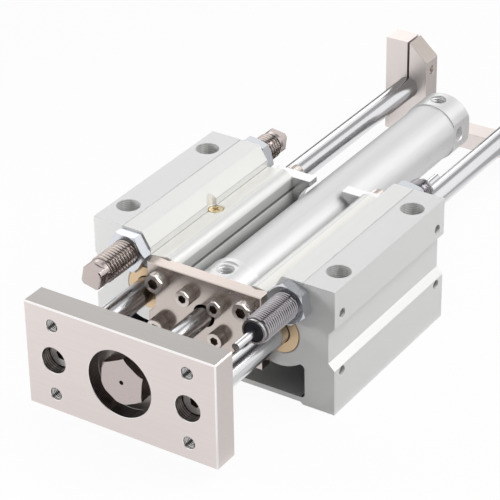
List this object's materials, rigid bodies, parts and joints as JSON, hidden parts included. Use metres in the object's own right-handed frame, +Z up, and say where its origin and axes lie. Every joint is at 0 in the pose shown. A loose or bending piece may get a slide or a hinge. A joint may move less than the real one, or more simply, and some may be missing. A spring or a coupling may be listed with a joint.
{
  "type": "guided pneumatic cylinder",
  "caption": "Guided pneumatic cylinder: guide rods in an extruded body, nickel front plate, rear fork plate, adjustable stops and shock absorbers.",
  "frame": {"origin": "centre of the four mounting holes, on the underside of the guide body's feet", "axes": "+Z up, +Y from the front plate towards the rear plate along the stroke, +X to the side of the shock absorbers"},
  "size_m": [0.135, 0.3399, 0.0673],
  "materials": {
    "body_alloy": "fine satin anodised",
    "tube_alloy": "matt anodised tube",
    "cover_alloy": "turned satin",
    "nickel_steel": "nickel plated, ground faces",
    "ground_chrome": "ground and hard chromed",
    "bronze": "sintered bronze",
    "plug_brass": "brass, turned",
    "screw_steel": "nickel plated",
    "zinc_steel": "bright zinc",
    "adjuster_nickel": "warm nickel plated thread",
    "shock_steel": "grey nickel plated thread",
    "seal_rubber": "matt black",
    "piston_alloy": "turned",
    "wear_plastic": "filled plastic",
    "magnet_black": "bonded magnet",
    "shock_cap_black": "black"
  },
  "bodies": {
    "guide_unit": {"bracket_screws": "screw_steel", "bushing_front_left": "bronze", "bushing_front_right": "bronze", "bushing_rear_left": "bronze", "bushing_rear_right": "bronze", "bushing_retainer": "nickel_steel", "cover_screws": "screw_steel", "cylinder_bracket": "nickel_steel", "cylinder_tube": "tube_alloy", "front_adjuster": "adjuster_nickel", "front_adjuster_nut": "zinc_steel", "front_cover": "cover_alloy", "front_cover_seal": "seal_rubber", "front_shock_body": "shock_steel", "front_shock_cap": "shock_cap_black", "front_shock_nut": "zinc_steel", "guide_body": "body_alloy", "lubrication_plug": "plug_brass", "rear_adjuster": "adjuster_nickel", "rear_adjuster_nut": "zinc_steel", "rear_cover": "cover_alloy", "rear_cover_seal": "seal_rubber", "rear_shock_body": "shock_steel", "rear_shock_cap": "shock_cap_black", "rear_shock_nut": "zinc_steel", "retainer_screws": "screw_steel", "rod_bush": "bronze", "rod_seal": "seal_rubber", "rod_wiper_front_left": "seal_rubber", "rod_wiper_front_right": "seal_rubber", "rod_wiper_rear_left": "seal_rubber", "rod_wiper_rear_right": "seal_rubber"},
    "carriage": {"front_plate": "nickel_steel", "guide_rod_left": "ground_chrome", "guide_rod_right": "ground_chrome", "guide_rod_screws": "screw_steel", "magnet_ring": "magnet_black", "piston": "piston_alloy", "piston_nut": "zinc_steel", "piston_rod": "ground_chrome", "piston_seal": "seal_rubber", "rear_plate": "nickel_steel", "rod_clamp_screws": "screw_steel", "rod_end_nut": "nickel_steel", "wear_ring": "wear_plastic"},
    "front_shock": {"front_shock_rod": "ground_chrome"},
    "rear_shock": {"rear_shock_rod": "ground_chrome"}
  },
  "joints": [
    {"name": "guide_slide", "type": "slide", "parent": "guide_unit", "child": "carriage", "axis": [0, -1, 0], "range_m": [-0.013, 0.1157]},
    {"name": "front_shock_slide", "type": "slide", "parent": "guide_unit", "child": "front_shock", "axis": [0, 1, 0], "range_m": [0, 0.014], "stiffness_N_per_m": 500, "springref_m": -0.01},
    {"name": "rear_shock_slide", "type": "slide", "parent": "guide_unit", "child": "rear_shock", "axis": [0, -1, 0], "range_m": [0, 0.014], "stiffness_N_per_m": 500, "springref_m": -0.01}
  ]
}
